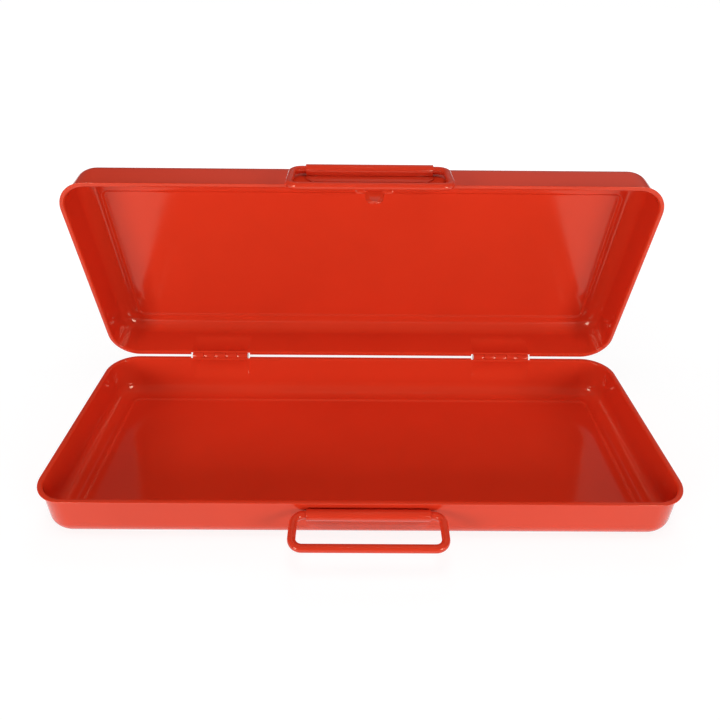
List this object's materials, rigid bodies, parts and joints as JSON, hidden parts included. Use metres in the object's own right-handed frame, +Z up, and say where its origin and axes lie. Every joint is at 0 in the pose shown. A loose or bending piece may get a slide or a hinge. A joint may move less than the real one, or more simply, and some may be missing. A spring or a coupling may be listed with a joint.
{
  "type": "hinged tool case",
  "caption": "Flat pressed-steel tool case: rimmed tray and matching lid on butt hinges, with nesting wire bail handles, rolled handle strips and an inner catch tongue.",
  "frame": {"origin": "centre of the case's outline, on the underside of the base's embossed panel", "axes": "+X along the case, -Y the handle side, +Z up; stored with the lid open as in the picture"},
  "size_m": [0.44, 0.2352, 0.2158],
  "materials": {
    "case_paint": "gloss",
    "fitting_paint": "gloss",
    "pin_steel": "satin"
  },
  "bodies": {
    "base": {"base_shell": "case_paint", "left_hinge_base_leaf": "fitting_paint", "right_hinge_base_leaf": "fitting_paint", "left_hinge_pin": "pin_steel", "right_hinge_pin": "pin_steel", "base_handle_bracket": "fitting_paint"},
    "lid": {"lid_shell": "case_paint", "left_hinge_lid_leaf": "fitting_paint", "right_hinge_lid_leaf": "fitting_paint", "lid_handle_bracket": "fitting_paint", "catch_tongue": "case_paint"},
    "base_bail": {"base_bail": "fitting_paint"},
    "lid_bail": {"lid_bail": "fitting_paint"}
  },
  "joints": [
    {"name": "lid_hinge", "type": "hinge", "parent": "base", "child": "lid", "pos_m": [0, 0.0869, 0.0375], "axis": [1, 0, 0], "range_deg": [0, 78]},
    {"name": "base_bail_pivot", "type": "hinge", "parent": "base", "child": "base_bail", "pos_m": [0.005, -0.08735, 0.0282], "axis": [1, 0, 0], "range_deg": [-65, 85.4]},
    {"name": "lid_bail_pivot", "type": "hinge", "parent": "lid", "child": "lid_bail", "pos_m": [0.005, 0.06955, 0.21195], "axis": [-1, 0, 0], "range_deg": [0, 150]}
  ]
}
